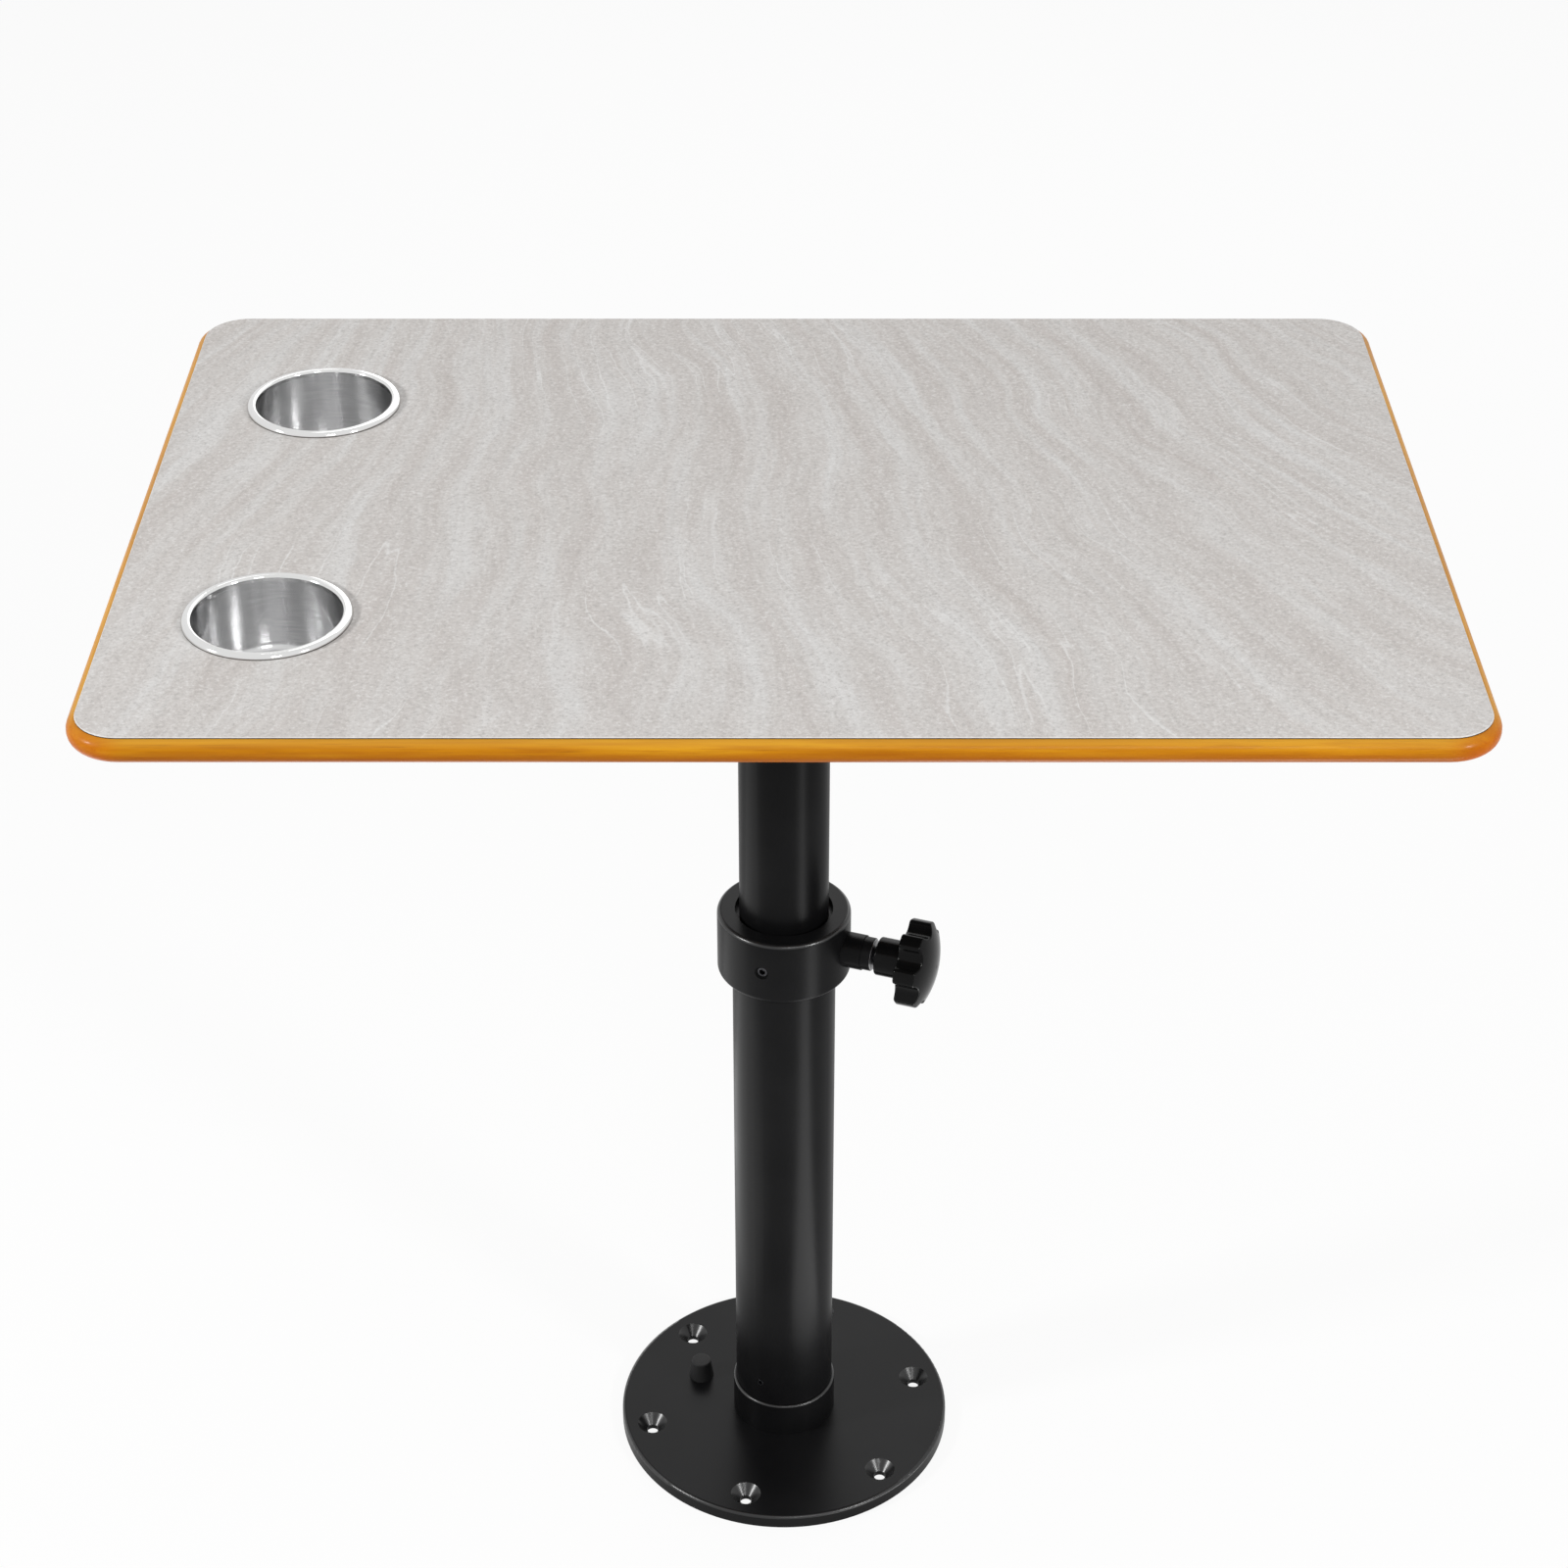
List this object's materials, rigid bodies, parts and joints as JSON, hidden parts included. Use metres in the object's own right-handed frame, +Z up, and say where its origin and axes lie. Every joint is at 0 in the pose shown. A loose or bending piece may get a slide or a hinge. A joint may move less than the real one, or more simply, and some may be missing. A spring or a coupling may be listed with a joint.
{
  "type": "caravan table",
  "caption": "Rectangular laminate table with a wooden bullnose edge and drop-in cup holders, on a round floor plate with a telescopic, swivelling column and a star-knob clamp.",
  "frame": {"origin": "centre of the base plate's underside, on the floor and on the column's axis", "axes": "+Z up along the column, +X along the table's length away from the cup holders, the long front edge towards -Y"},
  "size_m": [0.8, 0.555, 0.765],
  "materials": {
    "black_metal": "satin powder coat",
    "black_knob": "glossy",
    "black_rubber": "matte",
    "black_nylon": "matte",
    "zinc_steel": "zinc plated",
    "black_steel": "blackened",
    "stainless": "brushed, with a polished rim",
    "lacquered_wood": "honey lacquer",
    "stone_laminate": "matte, stone look"
  },
  "bodies": {
    "pedestal": {"base_plate": "black_metal", "foot_socket": "black_metal", "foot_set_screws": "black_steel", "base_centre_screw": "zinc_steel", "button_seat": "zinc_steel", "button_spring": "zinc_steel", "lower_tube": "black_metal", "clamp_collar": "black_metal", "collar_grub_screw": "black_steel", "guide_bush": "black_nylon"},
    "button": {"release_button": "black_rubber"},
    "glide": {"lower_glide": "black_nylon"},
    "table": {"upper_tube": "black_metal", "top_socket": "black_metal", "top_set_screws": "black_steel", "top_centre_screw": "zinc_steel", "top_flange": "black_metal", "flange_screws": "zinc_steel", "table_board": "lacquered_wood", "laminate_sheet": "stone_laminate", "cup_holder_front": "stainless", "cup_holder_rear": "stainless"},
    "clamp_pad": {"clamp_pad": "black_nylon"},
    "knob": {"clamp_stud": "black_steel", "clamp_knob": "black_knob"}
  },
  "joints": [
    {"name": "button_press", "type": "slide", "parent": "pedestal", "child": "button", "axis": [0, 0, -1], "range_m": [0, 0.0028], "stiffness_N_per_m": 600, "springref_m": -0.004, "deforming": ["button_spring"]},
    {"name": "height_slide", "type": "slide", "parent": "pedestal", "child": "glide", "axis": [0, 0, 1], "range_m": [-0.245, 0.045]},
    {"name": "table_swivel", "type": "hinge", "parent": "glide", "child": "table", "pos_m": [0, 0, 0.343], "axis": [0, 0, 1], "continuous": true},
    {"name": "pad_travel", "type": "slide", "parent": "pedestal", "child": "clamp_pad", "axis": [0.9432, -0.3322, 0], "range_m": [0, 0.0036]},
    {"name": "knob_turn", "type": "hinge", "parent": "clamp_pad", "child": "knob", "pos_m": [0.0632, -0.02226, 0.4335], "axis": [0.9432, -0.3322, 0], "range_deg": [0, 720]}
  ],
  "couplings": [
    {"joint": "pad_travel", "follows": "knob_turn", "m_per_rad": 0.00027852}
  ]
}
